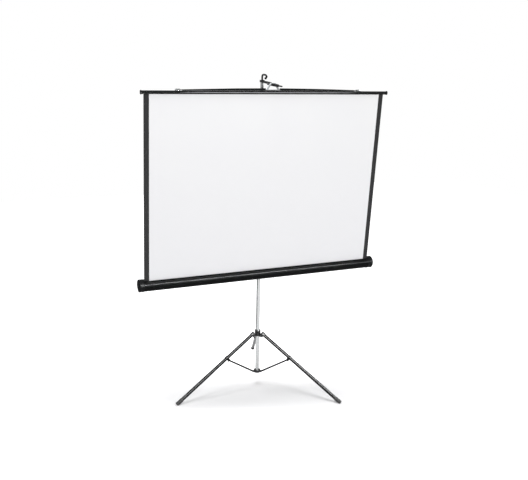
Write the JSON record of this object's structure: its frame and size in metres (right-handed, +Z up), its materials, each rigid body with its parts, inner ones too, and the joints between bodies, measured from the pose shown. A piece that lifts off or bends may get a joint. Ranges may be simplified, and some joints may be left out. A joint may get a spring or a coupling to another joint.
{
  "type": "tripod projector screen",
  "caption": "Portable projector screen on a folding tripod: fabric pulled up from a roller case and hung on a raised mast.",
  "frame": {"origin": "on the floor, under the middle of the outline", "axes": "+Z up, the screen faces -Y, +X to the right of the screen seen from behind the viewer"},
  "size_m": [1.598, 1.0269, 2.0148],
  "materials": {
    "chrome": "polished",
    "cast_black": "satin",
    "plastic_black": "matte",
    "case_enamel": "semi-gloss",
    "slat_enamel": "semi-gloss",
    "dark_enamel": "satin",
    "pale_plastic": "satin",
    "screen_fabric": "matte",
    "steel": "satin",
    "rubber": "matte"
  },
  "bodies": {
    "mast": {"mast_tube": "chrome", "hub_casting": "cast_black", "mast_bushing": "plastic_black", "case_slider": "cast_black", "case_saddle": "cast_black", "case_pivot_bolt": "steel", "case_shell": "case_enamel", "case_cap_left": "plastic_black", "case_cap_right": "plastic_black", "spring_motor": "steel"},
    "extension": {"extension_tube": "chrome", "top_block": "cast_black", "carrying_crook": "plastic_black", "keystone_arm": "dark_enamel", "arm_bolt": "chrome", "bail_hanger": "pale_plastic", "bail_strip": "slat_enamel", "bail_clip_left": "chrome", "bail_clip_right": "chrome", "slat": "slat_enamel", "slat_cap_left": "plastic_black", "slat_cap_right": "plastic_black", "screen_fabric": "screen_fabric"},
    "roller": {"roller_tube": "steel", "roller_plug_left": "plastic_black", "roller_plug_right": "plastic_black", "fabric_roll": "screen_fabric"},
    "collar": {"leg_collar": "cast_black", "leg_pin_1": "chrome", "leg_pin_2": "chrome", "leg_pin_3": "chrome"},
    "latch": {"latch_button": "plastic_black"},
    "height_clamp": {"height_knob": "plastic_black"},
    "case_clamp": {"case_knob": "plastic_black"},
    "leg_1": {"leg_tube_1": "dark_enamel", "leg_end_1": "cast_black", "leg_clip_1": "dark_enamel", "leg_tip_1": "rubber", "brace_pin_1": "steel"},
    "brace_link_1": {"brace_1": "dark_enamel"},
    "leg_2": {"leg_tube_2": "dark_enamel", "leg_end_2": "cast_black", "leg_clip_2": "dark_enamel", "leg_tip_2": "rubber", "brace_pin_2": "steel"},
    "brace_link_2": {"brace_2": "dark_enamel"},
    "leg_3": {"leg_tube_3": "dark_enamel", "leg_end_3": "cast_black", "leg_clip_3": "dark_enamel", "leg_tip_3": "rubber", "brace_pin_3": "steel"},
    "brace_link_3": {"brace_3": "dark_enamel"}
  },
  "joints": [
    {"name": "extension_slide", "type": "slide", "parent": "mast", "child": "extension", "axis": [0, 0, 1], "range_m": [-0.6, 0.1], "deforming": ["screen_fabric"]},
    {"name": "roller_turn", "type": "hinge", "parent": "mast", "child": "roller", "pos_m": [0, -0.10809, 0.786], "axis": [1, 0, 0], "continuous": true},
    {"name": "collar_slide", "type": "slide", "parent": "mast", "child": "collar", "axis": [0, 0, 1], "range_m": [0, 0.214]},
    {"name": "latch_press", "type": "slide", "parent": "collar", "child": "latch", "axis": [0.342, 0.9397, 0], "range_m": [0, 0.003], "stiffness_N_per_m": 400, "springref_m": -0.002},
    {"name": "height_knob_turn", "type": "hinge", "parent": "mast", "child": "height_clamp", "pos_m": [0, -0.05009, 1.233], "axis": [0, 1, 0], "range_deg": [-360, 0]},
    {"name": "case_knob_turn", "type": "hinge", "parent": "mast", "child": "case_clamp", "pos_m": [0, -0.05009, 0.764], "axis": [0, 1, 0], "range_deg": [-360, 0]},
    {"name": "leg_fold_1", "type": "hinge", "parent": "collar", "child": "leg_1", "pos_m": [0.00958, -0.02378, 0.3443], "axis": [-0.9397, 0.342, 0], "range_deg": [0, 57]},
    {"name": "brace_fold_1", "type": "hinge", "parent": "leg_1", "child": "brace_link_1", "pos_m": [0.07651, 0.16012, 0.21914], "axis": [-0.9397, 0.342, 0], "range_deg": [-114, 0]},
    {"name": "leg_fold_2", "type": "hinge", "parent": "collar", "child": "leg_2", "pos_m": [-0.02757, -0.05495, 0.3443], "axis": [0.1736, -0.9848, 0], "range_deg": [0, 57]},
    {"name": "brace_fold_2", "type": "hinge", "parent": "leg_2", "child": "brace_link_2", "pos_m": [-0.2203, -0.08894, 0.21914], "axis": [0.1736, -0.9848, 0], "range_deg": [-114, 0]},
    {"name": "leg_fold_3", "type": "hinge", "parent": "collar", "child": "leg_3", "pos_m": [0.018, -0.07154, 0.3443], "axis": [0.766, 0.6428, 0], "range_deg": [0, 57]},
    {"name": "brace_fold_3", "type": "hinge", "parent": "leg_3", "child": "brace_link_3", "pos_m": [0.14379, -0.22146, 0.21914], "axis": [0.766, 0.6428, 0], "range_deg": [-114, 0]}
  ],
  "couplings": [
    {"joint": "roller_turn", "follows": "extension_slide", "rad_per_m": -65},
    {"joint": "leg_fold_1", "follows": "collar_slide", "rad_per_m": 4.6428},
    {"joint": "brace_fold_1", "follows": "collar_slide", "rad_per_m": -9.2856},
    {"joint": "leg_fold_2", "follows": "collar_slide", "rad_per_m": 4.6428},
    {"joint": "brace_fold_2", "follows": "collar_slide", "rad_per_m": -9.2856},
    {"joint": "leg_fold_3", "follows": "collar_slide", "rad_per_m": 4.6428},
    {"joint": "brace_fold_3", "follows": "collar_slide", "rad_per_m": -9.2856}
  ]
}
